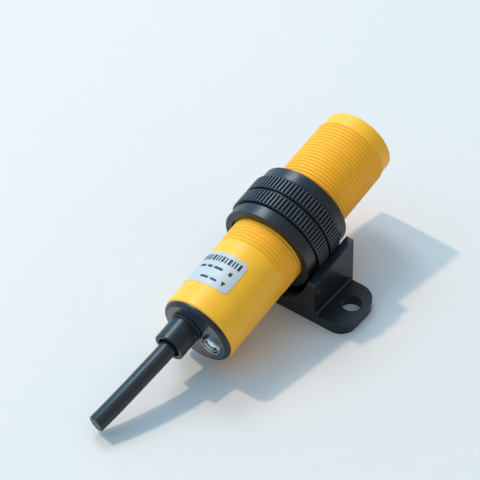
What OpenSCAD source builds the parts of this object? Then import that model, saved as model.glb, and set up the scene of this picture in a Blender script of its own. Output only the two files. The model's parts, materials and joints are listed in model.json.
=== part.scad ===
// Cylindrical ultrasonic sensor in an angled clamp bracket.
// The origin is on the bracket's base, below the point where the barrel's axis crosses the clamp plate.
// +X is the way the nose points, seen from above, and +Z is up.

/* [Barrel] */
// Diameter over the thread's crests
thread_d = 30; // [29:0.5:32]
// Length of the thread
thread_len = 65.5; // [60:0.5:80]
// Pitch of the thread
thread_pitch = 1.5; // [1:0.1:2]
// Depth of the thread, from crest to root
thread_depth = 0.8; // [0.4:0.05:0.9]
// Diameter of the smooth rear body
rear_body_d = 29.7; // [29:0.1:29.8]
// Length of the smooth rear body
rear_body_len = 31.5; // [28:0.5:36]
// Diameter of the smooth ring at the nose
nose_ring_d = 28.7; // [27.4:0.1:29.2]
// Length of the smooth ring at the nose
nose_ring_len = 5.5; // [4:0.5:10]
// Diameter of the bore that holds the electronics
bore_d = 23.2; // [22.4:0.1:23.8]
// Wall of the nose round the transducer's pocket
nose_wall = 1.9; // [1.6:0.1:2.1]
// Chamfer at the barrel's two ends
end_chamfer = 0.5; // [0.2:0.1:0.8]

/* [Rear cap] */
// Diameter of the cap's rim
cap_d = 28.8; // [27:0.1:29]
// Height of the rim behind the barrel
cap_rim_t = 1.8; // [1.5:0.1:3]
// Radius of the rim's rounded edge
cap_round_r = 1.5; // [0.6:0.1:1.6]
// Length of the plug that enters the barrel
plug_len = 7; // [6:0.5:9]
// Wall of the plug
plug_wall = 1.6; // [1.5:0.1:2]
// Thickness of the cap's floor, measured into the barrel from its rear rim
cap_floor_t = 1.4; // [1:0.1:2.4]
// Thickness of the sealing ring
seal_t = 1; // [0.8:0.1:1.1]

/* [Cable and sleeve] */
// Diameter of the cable's jacket
cable_d = 6.6; // [5:0.2:7]
// Distance from the barrel's axis to the cable
cable_offset = 3.9; // [3.4:0.1:4.6]
// Angle of the cable above the level line through the barrel's axis
cable_turn = 31; // [20:1:40]
// Diameter of the sleeve
sleeve_d = 12; // [11:0.2:13]
// Length of the sleeve behind the cap
sleeve_len = 11; // [8:0.5:20]
// Diameter of the ring at the sleeve's root
sleeve_root_d = 13; // [12:0.2:14]
// Height of the ring at the sleeve's root
sleeve_root_t = 1.2; // [0.8:0.1:2]
// Diameter of the recess round the cable
sleeve_mouth_d = 8.6; // [7.6:0.2:10]
// Depth of the recess round the cable
sleeve_mouth_depth = 2.2; // [1:0.1:4]
// Diameter of the sleeve's stem in the cap
stem_d = 8; // [7.6:0.1:8.4]
// Thickness of the stem's retaining flange
stem_flange_t = 1.2; // [0.8:0.1:2]
// Length of the jacket beyond the stem's flange, inside the barrel
jacket_overhang = 1; // [0.5:0.5:2]
// Diameter of one insulated core
core_d = 1.7; // [1.2:0.1:1.8]
// Length of the cores on the main board
core_on_board = 4; // [2:0.5:6]

/* [Indicator] */
// Gap between the lens's bore and the wall of the cap's plug
lens_wall_gap = 0.25; // [0.2:0.05:1]
// Angle of the indicator below the level line, on the side away from the cable
indicator_turn = 12; // [0:1:30]
// Outer diameter of the plated ring
bezel_d = 8; // [7:0.2:8.6]
// Height of the plated ring's outer wall
bezel_t = 1.3; // [0.8:0.1:2]
// Diameter of the ring's inner step
bezel_step_d = 6; // [5.8:0.1:6.4]
// Height of the ring's inner step
bezel_step_t = 0.8; // [0.5:0.1:1.2]
// Width of the ring's two raised walls
bezel_wall = 0.5; // [0.3:0.05:0.7]
// Diameter of the clear lens
lens_d = 4.4; // [3.6:0.1:4.6]
// Diameter of the emitter's body
emitter_d = 3.4; // [3:0.1:3.6]
// Length of the emitter's body
emitter_len = 3; // [2:0.2:3.4]
// Diameter of an emitter's lead
emitter_lead_d = 0.5; // [0.4:0.05:0.7]
// Length of the emitter's and the transducer's leads along the main board
lead_on_board = 3; // [1:0.5:5]

/* [Label] */
// Width of the label along the barrel
label_w = 14.8; // [12:0.2:19]
// Angle that the label wraps round the barrel
label_wrap = 120; // [60:5:150]
// Angle from level, on the foot's side, to the label's first edge
label_start = 64; // [20:1:80]
// Distance from the barrel's rear rim to the label
label_inset = 10; // [4:0.5:12]
// Thickness of the label
label_t = 0.14; // [0.1:0.01:0.2]
// Radius of the label's corners
label_corner_r = 2; // [0.5:0.25:3]

/* [Transducer] */
// Depth of the acoustic face below the nose
face_recess = 0.5; // [0.2:0.1:1.5]
// Thickness of the matching layer
matching_t = 4.5; // [3:0.1:6]
// Width of the soft ring round the transducer's cup
soft_ring_w = 1.6; // [1.2:0.1:2]
// Wall of the cup
cup_wall = 1; // [0.6:0.1:1.4]
// Diameter of the piezo disc
piezo_d = 15; // [10:0.5:17]
// Thickness of the piezo disc
piezo_t = 2.2; // [1.5:0.1:3]
// Thickness of the foam behind the piezo disc
backing_t = 6; // [4:0.5:9]
// Thickness of the small round board
small_board_t = 1; // [0.8:0.1:1.6]
// Diameter of a transducer lead
lead_d = 1; // [0.6:0.1:1.2]
// Distance between the two transducer leads
lead_pitch = 6; // [4:0.5:8]

/* [Electronics] */
// Length of the main board
board_len = 66; // [60:1:68]
// Width of the main board
board_w = 19.6; // [18:0.2:20]
// Thickness of the main board
board_t = 1.6; // [1:0.1:2]
// Distance from the cap's plug to the main board
board_gap = 2; // [1:0.5:3]
// Wall of the trough that carries the board
carrier_wall = 1.4; // [1:0.1:1.6]
// Width of the ledge under each edge of the board
ledge_w = 1.8; // [1.2:0.1:2.4]
// Thickness of the ledge
ledge_t = 1.5; // [1:0.1:2.5]
// Side of the transformer's core
transformer_w = 9; // [7:0.5:10]
// Height of the transformer
transformer_h = 6; // [4:0.2:7]
// Diameter of the capacitor
capacitor_d = 5; // [4:0.2:6.3]
// Length of the capacitor
capacitor_len = 11; // [8:0.5:12]
// Side of the microcontroller
controller_w = 7; // [5:0.5:8]
// Height of the microcontroller
controller_h = 1.2; // [0.8:0.1:1.6]
// Length of the output driver
driver_len = 6.5; // [5:0.5:7]
// Width of the output driver
driver_w = 6; // [4:0.5:7]
// Height of the output driver
driver_h = 2.2; // [1.4:0.1:2.6]
// Diameter of the temperature sensor's bead
thermistor_d = 2; // [1.4:0.1:2.6]

/* [Nuts] */
// Diameter over the ribs of the knurled band
knurl_d = 39.4; // [38.6:0.2:41]
// Width of the knurled band
knurl_w = 6.2; // [5:0.1:8]
// Number of ribs
rib_count = 80; // [60:1:90]
// Depth of the grooves between ribs
rib_depth = 0.5; // [0.3:0.05:0.7]
// Width of the smooth lip beside the ribs
lip_w = 0.5; // [0.5:0.05:0.8]
// Diameter of the smooth collar
collar_d = 37.4; // [36:0.2:38]
// Width of the smooth collar
collar_w = 5.5; // [4:0.1:8]
// Chamfer of the collar and the lips
nut_chamfer = 0.3; // [0.2:0.05:0.5]
// Diameter of the step at the collar's mouth
mouth_d = 31.8; // [31:0.1:33]
// Depth of the step at the collar's mouth
mouth_depth = 1; // [0.5:0.1:2]
// Outer diameter of the thrust washer
washer_d = 35.6; // [34.5:0.1:36.4]
// Thickness of the thrust washer
washer_t = 1.2; // [0.8:0.1:2]

/* [Bracket] */
// Angle by which the nose points up
barrel_tilt = 10.5; // [6:0.5:11]
// Height of the barrel's axis above the base, at the clamp plate
axis_height = 26.4; // [26:0.2:32]
// Distance from the barrel's rear rim to the middle of the clamp plate
plate_station = 54; // [50:0.5:56]
// Thickness of the clamp plate
plate_t = 1; // [0.8:0.1:2]
// Diameter of the clamp plate's ring
plate_ring_d = 37.6; // [37:0.1:38.4]
// Width of the clamp plate's tab
tab_w = 26; // [20:1:32]
// Depth of the tab's end below the barrel's axis
tab_depth = 22.2; // [21.4:0.1:22.6]
// Diameter of the two holes that anchor the tab
anchor_d = 2; // [1.2:0.1:2.4]
// Distance between the two anchor holes
anchor_pitch = 16; // [14:1:20]
// Length of the block along X
block_len = 24.8; // [23:0.2:30]
// Distance by which the block's middle lies in front of the origin
block_shift = -0.4; // [-1:0.1:1]
// Distance from the axis to the block's wall above the foot
block_foot_side = 22.8; // [21.8:0.1:24]
// Distance from the axis to the block's far wall
block_far_side = 20; // [18:0.2:21]
// Angle by which the block's rear wall leans back
rear_lean = 5; // [0:0.5:8]
// Angle by which the block's front wall leans back
front_lean = 2.5; // [0:0.5:8]
// Distance from the axis down to the cradle's edge above the foot
cradle_drop = 4; // [3.6:0.2:8]
// Distance from the axis down to the cradle's far edge
far_drop = 10.5; // [9:0.5:13]
// Thickness of the foot
foot_t = 4.6; // [4:0.2:5.6]
// Distance from the axis to the foot's outer end
foot_reach = 36.4; // [36:0.2:42]
// Distance from the origin forward to the foot's front edge
foot_front = 10.4; // [9.5:0.1:11.5]
// Radius of the foot's rear corner
foot_rear_r = 6.5; // [3:0.5:7]
// Radius of the foot's front corner
foot_front_r = 8; // [4:0.5:9]
// Diameter of the mounting hole
hole_d = 8; // [6.6:0.1:9]
// Distance from the axis to the mounting hole
hole_side = 30.3; // [29:0.1:31]
// Radius of the fillet between the block and the foot
root_fillet = 0.8; // [0.4:0.1:1.2]

/* [Fits] */
// Radial gap between the thread and what turns on it
thread_gap = 0.08; // [0.05:0.01:0.1]
// Gap between the clamp plate and each nut
clamp_gap = 0.05; // [0.02:0.01:0.1]
// Radial gap between the knurl and the cradle
cradle_gap = 0.3; // [0.2:0.05:1]
// Gap round a washer in its nut
washer_gap = 0.05; // [0.03:0.01:0.1]
// Radial gap between the barrel's bore and what slides into it
bore_gap = 0.05; // [0.02:0.01:0.1]
// Gap between the stem's flange and the plug's wall
flange_gap = 0.15; // [0.1:0.05:0.2]

/* [Hidden] */

$fn = 96;
eps = 0.01;

// Stations along the barrel, counted from the middle of the clamp plate towards the nose
rear_z = -plate_station;
step_z = rear_z + rear_body_len;
ring_z = step_z + thread_len;
nose_z = ring_z + nose_ring_len;
cap_face_z = rear_z - cap_rim_t;
sleeve_end_z = cap_face_z - sleeve_len;
cable_exit_z = sleeve_end_z + sleeve_mouth_depth;
plug_front_z = rear_z + plug_len;
floor_z = rear_z + cap_floor_t;
stem_end_z = floor_z + stem_flange_t;
jacket_end_z = stem_end_z + jacket_overhang;
face_z = nose_z - face_recess;
piezo_front_z = face_z - matching_t;
piezo_rear_z = piezo_front_z - piezo_t;
small_board_z = piezo_rear_z - backing_t;
pocket_z = small_board_z - small_board_t;
board_z = plug_front_z + board_gap;
board_end_z = board_z + board_len;

// Radii
thread_r = thread_d / 2;
running_r = thread_r + thread_gap;
bore_r = bore_d / 2;
pocket_r = nose_ring_d / 2 - nose_wall;
inner_r = bore_r - bore_gap;
plug_inner_r = inner_r - plug_wall;
stem_flange_r = plug_inner_r - cable_offset - flange_gap;
cup_r = pocket_r - soft_ring_w;
cup_inner_r = cup_r - cup_wall;
knurl_r = knurl_d / 2;
cradle_r = knurl_r + cradle_gap;
nut_w = knurl_w + collar_w;

// Heights of the board, counted down from the barrel's axis; the cable's cores lie on its upper face
cable_up = cable_offset * sin(cable_turn);
cable_side = cable_offset * cos(cable_turn);
board_top = core_d / 2 - cable_up;
board_bottom = board_top + board_t;

// Indicator, counted from the barrel's axis
lens_bore_r = bezel_step_d / 2 - bezel_wall;
indicator_offset = plug_inner_r - lens_bore_r - lens_wall_gap;
indicator_side = -indicator_offset * cos(indicator_turn);

// Bracket
block_rear_x = block_shift - block_len / 2;
block_front_x = block_shift + block_len / 2;

// Route of the free cable from its exit, in the barrel's own axes: down, sideways and along
cable_route = [
    [0, 0, 0], [0, 0, -2], [0.15, 0.2, -7], [0.7, 0.85, -14], [1.6, 1.75, -22], [2.8, 3, -31],
    [4.4, 4.6, -39.25],
];
cable_sides = 12;

// Places children in the barrel's own axes: Z towards the nose, X down, Y sideways
module along_barrel() {
    translate([0, 0, axis_height]) rotate([0, 90 - barrel_tilt, 0]) children();
}

// Places children on the cable's line, in the barrel's own axes
module at_cable() {
    rotate([0, 0, cable_turn]) translate([0, cable_offset, 0]) children();
}

// Places children on the indicator's line, in the barrel's own axes
module at_indicator() {
    rotate([0, 0, indicator_turn]) translate([0, -indicator_offset, 0]) children();
}

module tube(outer_r, inner_r, z0, z1) {
    translate([0, 0, z0]) difference() {
        cylinder(r = outer_r, h = z1 - z0);
        translate([0, 0, -eps]) cylinder(r = inner_r, h = z1 - z0 + 2 * eps);
    }
}

module disc(r, z0, z1) {
    translate([0, 0, z0]) cylinder(r = r, h = z1 - z0);
}

// Half section of the thread, as one groove to each pitch, with flats at crest and root
thread_shares = [[0.1, 0], [0.4, 1], [0.6, 1], [0.9, 0]];
function thread_section() = [
    for (i = [0:floor(thread_len / thread_pitch) - 1], share = thread_shares)
        [thread_r - share[1] * thread_depth, step_z + (i + share[0]) * thread_pitch]
];

// Barrel: rear body, thread and nose ring, with the bore and the transducer's pocket
module barrel_housing() {
    color("goldenrod") along_barrel() rotate_extrude() polygon([
        [bore_r, rear_z],
        [rear_body_d / 2 - end_chamfer, rear_z],
        [rear_body_d / 2, rear_z + end_chamfer],
        [rear_body_d / 2, step_z],
        [thread_r, step_z],
        each thread_section(),
        [thread_r, ring_z],
        [nose_ring_d / 2, ring_z],
        [nose_ring_d / 2, nose_z - end_chamfer],
        [nose_ring_d / 2 - end_chamfer, nose_z],
        [pocket_r, nose_z],
        [pocket_r, pocket_z],
        [bore_r, pocket_z],
    ]);
}

// Half section of the cap: rim with a rounded edge, plug, pocket and groove for the seal
module cap_section() {
    seal_z = (floor_z + plug_front_z) / 2;
    difference() {
        union() {
            translate([0, cap_face_z]) square([cap_d / 2 - cap_round_r, cap_rim_t]);
            translate([0, cap_face_z + cap_round_r]) square([cap_d / 2, cap_rim_t - cap_round_r]);
            translate([cap_d / 2 - cap_round_r, cap_face_z + cap_round_r]) intersection() {
                circle(r = cap_round_r);
                translate([0, -cap_round_r]) square(cap_round_r);
            }
            translate([0, rear_z - eps]) square([inner_r, plug_len + eps]);
        }
        translate([0, floor_z]) square([plug_inner_r, plug_len]);
        translate([bore_r - seal_t, seal_z - seal_t / 2]) square([seal_t, seal_t]);
    }
}

module rear_cap() {
    color("darkslategray") along_barrel() difference() {
        rotate_extrude() cap_section();
        at_cable() disc(stem_d / 2, cap_face_z - 1, floor_z + 1);
        at_indicator() disc(lens_bore_r, cap_face_z - 1, floor_z + 1);
    }
}

module cap_seal() {
    color("dimgray") along_barrel() translate([0, 0, (floor_z + plug_front_z) / 2])
        rotate_extrude() translate([bore_r - seal_t / 2, 0]) circle(d = seal_t, $fn = 32);
}

// Sleeve with its root ring, stem and retaining flange, bored for the cable
module strain_relief() {
    color("darkslategray") along_barrel() at_cable() difference() {
        union() {
            disc(sleeve_d / 2, sleeve_end_z, cap_face_z);
            disc(sleeve_root_d / 2, cap_face_z - sleeve_root_t, cap_face_z);
            disc(stem_d / 2, cap_face_z, stem_end_z);
            disc(stem_flange_r, floor_z, stem_end_z);
        }
        disc(cable_d / 2, sleeve_end_z - 1, stem_end_z + 1);
        disc(sleeve_mouth_d / 2, sleeve_end_z - 1, cable_exit_z);
    }
}

module cable_tail() {
    color("dimgray") along_barrel() at_cable()
        disc(cable_d / 2, cable_exit_z, jacket_end_z);
}

// Rings of the cable's tube, square to the way from the point before to the point after
function unit(v) = v / norm(v);
function heading(p, i) = unit(p[min(i + 1, len(p) - 1)] - p[max(i - 1, 0)]);
function ring(p, i, r, n) =
    let(t = heading(p, i), u = unit(cross([0, 1, 0], t)), v = cross(t, u))
    [for (k = [0:n - 1]) p[i] + r * (cos(360 * k / n) * u + sin(360 * k / n) * v)];

module swept_tube(p, r, n) {
    points = [for (i = [0:len(p) - 1]) each ring(p, i, r, n)];
    sides = [for (i = [0:len(p) - 2], k = [0:n - 1])
        [i * n + k, (i + 1) * n + k, (i + 1) * n + (k + 1) % n, i * n + (k + 1) % n]];
    first = [for (k = [0:n - 1]) k];
    last = [for (k = [n - 1:-1:0]) (len(p) - 1) * n + k];
    polyhedron(points, concat([first], sides, [last]));
}

module cable() {
    color("dimgray") along_barrel() at_cable() translate([0, 0, cable_exit_z])
        rotate([0, 0, -cable_turn]) swept_tube(cable_route, cable_d / 2, cable_sides);
}

// Three insulated cores from the jacket's end to the rear of the board, side by side on its upper face
module cable_cores() {
    core_pitch = core_d + 0.1;
    color("sienna") along_barrel() for (i = [-1:1])
        translate([-cable_up, cable_side + i * core_pitch, 0])
            disc(core_d / 2, jacket_end_z, board_z + core_on_board);
}

// Plated ring: two raised walls on a base, with the lens's bore
module indicator_bezel() {
    seat_r = bezel_d / 2;
    step_r = bezel_step_d / 2;
    color("silver") along_barrel() at_indicator() {
        tube(seat_r, step_r, cap_face_z - bezel_wall, cap_face_z);
        tube(seat_r, seat_r - bezel_wall, cap_face_z - bezel_t, cap_face_z - bezel_wall);
        tube(step_r, step_r - bezel_wall, cap_face_z - bezel_step_t, cap_face_z);
    }
}

// Clear lens: a rod with a domed end, down in the ring
module indicator_lens() {
    lens_r = lens_d / 2;
    dome_r = lens_d;
    color("palegreen") along_barrel() at_indicator() intersection() {
        disc(lens_r, cap_face_z - bezel_step_t, floor_z);
        translate([0, 0, cap_face_z - bezel_step_t / 2 + dome_r]) sphere(r = dome_r);
    }
}

module led() {
    color("seagreen") along_barrel() at_indicator()
        disc(emitter_d / 2, floor_z, floor_z + emitter_len);
}

// Two leads from the emitter's back to the underside of the board
module led_leads() {
    lead_down = board_bottom + emitter_lead_d / 2;
    color("lightgray") along_barrel() for (side = [-1, 1])
        translate([lead_down, indicator_side + side * emitter_lead_d * 1.2, 0])
            disc(emitter_lead_d / 2, floor_z + emitter_len, board_z + lead_on_board);
}

// One corner that is rounded away: a radial bar less a radial rod, at an angle and a station.
// The rod's centre is a little nearer the edges than its radius, so that the cut crosses them.
module label_corner(angle, z, turn_side, z_side) {
    reach = rear_body_d;
    inset = 0.93 * label_corner_r;
    inset_angle = inset / (rear_body_d / 2) * 180 / PI;
    rotate([0, 0, angle - turn_side * inset_angle])
        translate([0, 0, z - z_side * inset]) rotate([0, 90, 0]) difference() {
            translate([z_side > 0 ? -label_corner_r - 1 : 0, turn_side > 0 ? 0 : -label_corner_r - 1, 0])
                cube([label_corner_r + 1, label_corner_r + 1, reach]);
            translate([0, 0, -eps]) cylinder(r = label_corner_r, h = reach + 2 * eps, $fn = 32);
        }
}

// Thin label bent round the rear body, with rounded corners; the foot's side is level at 270 degrees
module rating_label() {
    inner = rear_body_d / 2;
    z0 = rear_z + label_inset;
    z1 = z0 + label_w;
    level_angle = 270;
    first = level_angle - label_start;
    last = first - label_wrap;
    color("gainsboro") along_barrel() difference() {
        rotate([0, 0, last]) rotate_extrude(angle = label_wrap)
            translate([inner, z0]) square([label_t, label_w]);
        label_corner(first, z1, 1, 1);
        label_corner(first, z0, 1, -1);
        label_corner(last, z1, -1, 1);
        label_corner(last, z0, -1, -1);
    }
}

module matching_layer() {
    color("whitesmoke") along_barrel() disc(cup_inner_r, piezo_front_z, face_z);
}

module piezo_disc() {
    color("khaki") along_barrel() disc(piezo_d / 2, piezo_rear_z, piezo_front_z);
}

module transducer_cup() {
    color("lightsteelblue") along_barrel() tube(cup_r, cup_inner_r, pocket_z, face_z);
}

module decoupling_ring() {
    color("slategray") along_barrel() tube(pocket_r, cup_r, pocket_z, face_z);
}

// Bores for the transducer's two leads
module lead_rods(z0, z1) {
    for (side = [-1, 1]) translate([board_top - lead_d / 2, side * lead_pitch / 2, 0])
        disc(lead_d / 2, z0, z1);
}

// Foam behind the piezo disc, and the ring of foam round it
module damping_backing() {
    color("tan") along_barrel() difference() {
        disc(cup_inner_r, small_board_z, piezo_front_z);
        disc(piezo_d / 2, piezo_rear_z, piezo_front_z + 1);
        lead_rods(small_board_z - 1, piezo_rear_z + 1);
    }
}

module transducer_board() {
    color("seagreen") along_barrel() difference() {
        disc(cup_inner_r, pocket_z, small_board_z);
        lead_rods(pocket_z - 1, small_board_z + 1);
    }
}

module transducer_leads() {
    color("firebrick") along_barrel() lead_rods(board_end_z - lead_on_board, piezo_rear_z);
}

// Trough under the board, from the cap's plug to the transducer, with a ledge under each board edge
module board_carrier() {
    trough_r = inner_r - carrier_wall;
    color("dimgray") along_barrel() translate([0, 0, plug_front_z])
        linear_extrude(pocket_z - plug_front_z) intersection() {
            circle(r = inner_r);
            difference() {
                translate([board_bottom, -inner_r]) square([inner_r, 2 * inner_r]);
                difference() {
                    circle(r = trough_r);
                    for (side = [-1, 1]) scale([1, side])
                        translate([board_bottom, board_w / 2 - ledge_w]) square([ledge_t, ledge_w + 2]);
                }
            }
        }
}

module circuit_board() {
    color("seagreen") along_barrel()
        translate([board_top, -board_w / 2, board_z]) cube([board_t, board_w, board_len]);
}

// A block that stands on the board, centred at a distance from its rear end
module on_board(z, side) {
    translate([board_top, side, board_z + z]) children();
}

// Transformer: two core plates joined by a round winding
module transformer() {
    flange_t = transformer_h / 4;
    color("darkslategray") along_barrel() on_board(board_len - transformer_w, 0) union() {
        translate([-flange_t, -transformer_w / 2, -transformer_w / 2])
            cube([flange_t, transformer_w, transformer_w]);
        translate([-transformer_h, 0, 0]) rotate([0, 90, 0])
            cylinder(d = transformer_w * 0.8, h = transformer_h);
        translate([-transformer_h, -transformer_w / 2, -transformer_w / 2])
            cube([flange_t, transformer_w, transformer_w]);
    }
}

module capacitor() {
    color("steelblue") along_barrel() on_board(board_len * 0.6, -board_w / 4)
        translate([-capacitor_d / 2, 0, -capacitor_len / 2])
            cylinder(d = capacitor_d, h = capacitor_len);
}

module microcontroller() {
    color("black") along_barrel() on_board(board_len * 0.4, 0)
        translate([-controller_h, -controller_w / 2, -controller_w / 2])
            cube([controller_h, controller_w, controller_w]);
}

module output_driver() {
    color("black") along_barrel() on_board(board_len * 0.2, -driver_w / 2)
        translate([-driver_h, -driver_w / 2, -driver_len / 2])
            cube([driver_h, driver_w, driver_len]);
}

module thermistor() {
    color("peru") along_barrel() on_board(board_len * 0.6, board_w / 4)
        translate([-thermistor_d / 2, 0, 0]) sphere(d = thermistor_d, $fn = 32);
}

// Grooves between the ribs, each a trapezoid with its wide side outwards
module rib_grooves() {
    shares = [0.06, 0.14, 0.36, 0.44];
    radii = [knurl_r + 1, knurl_r - rib_depth, knurl_r - rib_depth, knurl_r + 1];
    for (i = [0:rib_count - 1])
        polygon([for (k = [0:3]) let(a = (i + shares[k]) * 360 / rib_count)
            radii[k] * [cos(a), sin(a)]]);
}

// A nut with its inner face at Z 0: knurled band with lips, collar, thread's bore and washer's seat
module nut() {
    collar_r = collar_d / 2;
    $fn = 2 * rib_count;
    difference() {
        rotate_extrude() polygon([
            [running_r, 0],
            [knurl_r - nut_chamfer, 0],
            [knurl_r, nut_chamfer],
            [knurl_r, knurl_w - nut_chamfer],
            [knurl_r - nut_chamfer, knurl_w],
            [collar_r - nut_chamfer, knurl_w],
            [collar_r - nut_chamfer, knurl_w + nut_chamfer],
            [collar_r, knurl_w + 2 * nut_chamfer],
            [collar_r, nut_w - nut_chamfer],
            [collar_r - nut_chamfer, nut_w],
            [mouth_d / 2, nut_w],
            [mouth_d / 2, nut_w - mouth_depth],
            [running_r, nut_w - mouth_depth],
        ]);
        translate([0, 0, lip_w]) linear_extrude(knurl_w - 2 * lip_w) rib_grooves();
        disc(washer_d / 2 + washer_gap, -1, washer_t + washer_gap);
    }
}

module front_nut() {
    color("darkslategray") along_barrel() translate([0, 0, plate_t / 2 + clamp_gap]) nut();
}

module rear_nut() {
    color("darkslategray") along_barrel() mirror([0, 0, 1])
        translate([0, 0, plate_t / 2 + clamp_gap]) nut();
}

module washer() {
    tube(washer_d / 2, running_r, plate_t / 2 + clamp_gap, plate_t / 2 + clamp_gap + washer_t);
}

module front_washer() {
    color("silver") along_barrel() washer();
}

module rear_washer() {
    color("silver") along_barrel() mirror([0, 0, 1]) washer();
}

// Ring and tab of the clamp plate, with the holes that anchor the tab in the block
module plate_shape() {
    linear_extrude(plate_t, center = true) difference() {
        union() {
            circle(d = plate_ring_d);
            translate([0, -tab_w / 2]) square([tab_depth, tab_w]);
        }
        circle(r = running_r);
        for (side = [-1, 1]) translate([tab_depth - anchor_d, side * anchor_pitch / 2])
            circle(d = anchor_d, $fn = 32);
    }
}

module clamp_plate() {
    color("dimgray") along_barrel() plate_shape();
}

// Height of the block's upper edge over an end wall that starts at x above the foot and leans back
function edge_height(x, lean) =
    (axis_height + (x + foot_t * tan(lean)) * tan(barrel_tilt) - cradle_drop / cos(barrel_tilt))
    / (1 + tan(lean) * tan(barrel_tilt));

// Side view of the block: upright to the foot's top, then leaning back, with an edge along the barrel
module block_profile() {
    rear_top = edge_height(block_rear_x, rear_lean);
    front_top = edge_height(block_front_x, front_lean);
    polygon([
        [block_rear_x, 0],
        [block_front_x, 0],
        [block_front_x, foot_t],
        [block_front_x - (front_top - foot_t) * tan(front_lean), front_top],
        [block_rear_x - (rear_top - foot_t) * tan(rear_lean), rear_top],
        [block_rear_x, foot_t],
    ]);
}

// Block between its two side walls, with the half away from the foot cut down to its lower edge
module block() {
    difference() {
        translate([0, block_far_side, 0]) rotate([90, 0, 0])
            linear_extrude(block_foot_side + block_far_side) block_profile();
        along_barrel() translate([-block_len, 0, -block_len])
            cube([block_len + far_drop, block_len, 2 * block_len]);
    }
}

// A square corner with its round taken out, at the origin, for cutting or filling
module corner_piece(r) {
    difference() {
        square(r);
        translate([r, r]) circle(r = r, $fn = 64);
    }
}

// Outline of the foot: two rounded corners, and a fillet where it meets the block's front wall
module foot_outline() {
    flare = block_front_x - foot_front;
    difference() {
        translate([block_rear_x, -foot_reach])
            square([foot_front - block_rear_x, foot_reach - block_foot_side + 2]);
        translate([block_rear_x, -foot_reach]) corner_piece(foot_rear_r);
        translate([foot_front, -foot_reach]) mirror([1, 0]) corner_piece(foot_front_r);
    }
    translate([foot_front, -block_foot_side]) mirror([0, 1]) corner_piece(flare);
}

// Fillet along the corner between the block's wall and the foot
module root_fillet_bar() {
    length = foot_front - block_rear_x;
    translate([block_rear_x, -block_foot_side, foot_t]) rotate([90, 0, 90])
        linear_extrude(length) mirror([1, 0]) corner_piece(root_fillet);
}

// Bracket: foot, block and cradle, moulded round the clamp plate's tab
module bracket_body() {
    color("darkslategray") difference() {
        union() {
            block();
            linear_extrude(foot_t) foot_outline();
            root_fillet_bar();
        }
        along_barrel() cylinder(r = cradle_r, h = 4 * block_len, center = true);
        along_barrel() plate_shape();
        translate([0, -hole_side, -1]) cylinder(d = hole_d, h = foot_t + 2);
    }
}

barrel_housing();
rear_cap();
cap_seal();
strain_relief();
cable();
cable_tail();
cable_cores();
indicator_bezel();
indicator_lens();
led();
led_leads();
rating_label();
matching_layer();
piezo_disc();
transducer_cup();
decoupling_ring();
damping_backing();
transducer_board();
transducer_leads();
board_carrier();
circuit_board();
transformer();
capacitor();
microcontroller();
output_driver();
thermistor();
front_washer();
front_nut();
rear_washer();
rear_nut();
clamp_plate();
bracket_body();
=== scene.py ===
"""Cylindrical ultrasonic sensor in an angled clamp bracket: its visible pieces, finishes and stage."""

import json
import math

import bmesh
import bpy
from bpy.props import FloatProperty, FloatVectorProperty, IntProperty, PointerProperty
from mathutils import Matrix, Vector


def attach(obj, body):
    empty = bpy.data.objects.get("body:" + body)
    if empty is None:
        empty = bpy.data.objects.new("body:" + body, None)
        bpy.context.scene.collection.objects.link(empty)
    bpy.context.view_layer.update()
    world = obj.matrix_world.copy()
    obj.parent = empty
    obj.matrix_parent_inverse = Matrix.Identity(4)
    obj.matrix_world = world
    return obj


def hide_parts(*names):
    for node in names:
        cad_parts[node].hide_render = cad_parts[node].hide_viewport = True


bl_info = {
    "name": "Ultrasonic sensor in a clamp bracket",
    "version": (1, 0, 0),
    "blender": (4, 5, 0),
    "location": "View3D > Sidebar > Sensor",
    "description": "Builds the looks of a threaded ultrasonic sensor round its packed solids",
    "category": "Object",
}

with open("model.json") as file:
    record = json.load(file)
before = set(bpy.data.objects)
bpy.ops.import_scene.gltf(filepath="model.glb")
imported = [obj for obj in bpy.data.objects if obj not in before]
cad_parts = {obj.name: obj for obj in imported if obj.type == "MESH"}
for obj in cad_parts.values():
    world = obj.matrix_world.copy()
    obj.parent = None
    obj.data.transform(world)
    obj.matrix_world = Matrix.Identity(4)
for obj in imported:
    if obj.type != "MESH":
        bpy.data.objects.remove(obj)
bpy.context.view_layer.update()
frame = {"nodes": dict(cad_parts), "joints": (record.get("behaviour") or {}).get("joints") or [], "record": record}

MM = 0.001
TURN = next(j for j in frame["joints"] if j["name"] == "sensor_turn")
HEADING = Vector(TURN["axis"]).normalized()
CENTRE = Vector(TURN["pos_m"])
SIDE = Vector((0, 1, 0))
DOWN = SIDE.cross(HEADING)

# The barrel's own axes: X down, Y sideways away from the foot, Z towards the nose
ALONG_BARREL = Matrix.Translation(CENTRE) @ Matrix((DOWN, SIDE, HEADING)).transposed().to_4x4()
BARREL_TILT = math.asin(HEADING.z)

# Stations along the barrel, counted from the middle of the clamp plate towards the nose
REAR_Z = -54.0 * MM
STEP_Z = -22.5 * MM
RING_Z = 43.0 * MM
NOSE_Z = 48.5 * MM
CAP_FACE_Z = -55.8 * MM
CAP_FLOOR_Z = -52.6 * MM
SLEEVE_END_Z = -66.8 * MM
CABLE_EXIT_Z = -64.6 * MM
POCKET_Z = 34.3 * MM

SMOOTH_ANGLE = math.radians(35)
FULL_TURN = 2 * math.pi
# Vertices nearer than this are one, and a place this near to another counts as it
WELD = 1e-6


def length(name, description, default):
    """A size in metres for a property group."""
    return FloatProperty(name=name, description=description, default=default, min=0.0,
                         precision=5, subtype="DISTANCE", unit="LENGTH")


def angle(name, description, degrees):
    """An angle for a property group, given in degrees."""
    return FloatProperty(name=name, description=description, default=math.radians(degrees),
                         subtype="ANGLE", unit="ROTATION")


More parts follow.
